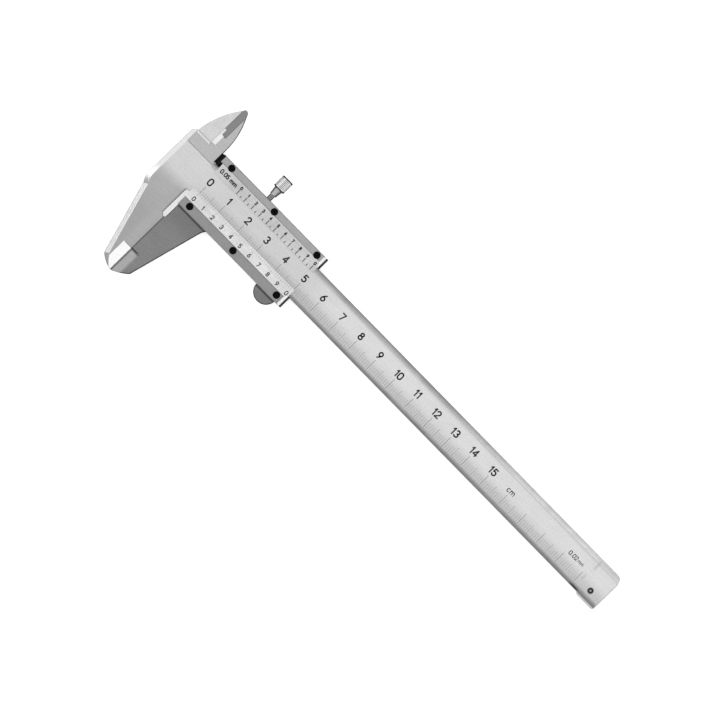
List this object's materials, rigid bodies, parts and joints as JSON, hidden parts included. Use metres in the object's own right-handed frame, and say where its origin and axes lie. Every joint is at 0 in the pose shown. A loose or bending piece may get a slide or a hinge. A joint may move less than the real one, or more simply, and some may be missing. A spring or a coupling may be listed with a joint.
{
  "type": "vernier caliper",
  "caption": "Closed vernier caliper with outside and inside jaws, a vernier slider with screwed scale plates, a clamp screw and a depth rod.",
  "frame": {"origin": "middle of the closed caliper's length and height, on the surface it lies on", "axes": "+X along the beam towards the tail, +Y towards the inside jaws, +Z out of the scale face"},
  "size_m": [0.232, 0.0776, 0.0073],
  "materials": {
    "ground_steel": "fine ground satin steel",
    "slider_steel": "darker ground steel",
    "satin_steel": "satin-chromed steel",
    "knurled_steel": "polished steel",
    "black_screws": "black-oxide steel",
    "spring_steel": "spring steel",
    "brass": "plain brass"
  },
  "bodies": {
    "beam": {"main_beam": "ground_steel", "tail_plate": "slider_steel", "tail_screw": "knurled_steel", "tail_pin": "spring_steel"},
    "slider": {"slider_frame": "slider_steel", "upper_vernier_plate": "satin_steel", "lower_vernier_plate": "satin_steel", "gib_strip": "brass", "gib_spring": "spring_steel", "depth_rod": "ground_steel", "upper_plate_screw_1": "black_screws", "upper_plate_screw_2": "black_screws", "upper_plate_screw_3": "black_screws", "lower_plate_screw_1": "black_screws", "lower_plate_screw_2": "black_screws", "lower_plate_screw_3": "black_screws", "gib_set_screw_1": "black_screws", "gib_set_screw_2": "black_screws", "depth_rod_rivet_1": "spring_steel", "depth_rod_rivet_2": "spring_steel"},
    "clamp_pad": {"clamp_shoe": "brass"},
    "clamp": {"clamp_screw": "knurled_steel"}
  },
  "joints": [
    {"name": "slider_slide", "type": "slide", "parent": "beam", "child": "slider", "axis": [1, 0, 0], "range_m": [0, 0.15]},
    {"name": "clamp_pad_slide", "type": "slide", "parent": "slider", "child": "clamp_pad", "axis": [0, 1, 0], "range_m": [-0.000075, 0.000675]},
    {"name": "clamp_screw_turn", "type": "hinge", "parent": "clamp_pad", "child": "clamp", "pos_m": [-0.07745, 0.0265, 0.0034], "axis": [0, 1, 0], "range_deg": [-60, 540]}
  ],
  "couplings": [
    {"joint": "clamp_screw_turn", "follows": "clamp_pad_slide", "rad_per_m": 13963}
  ]
}
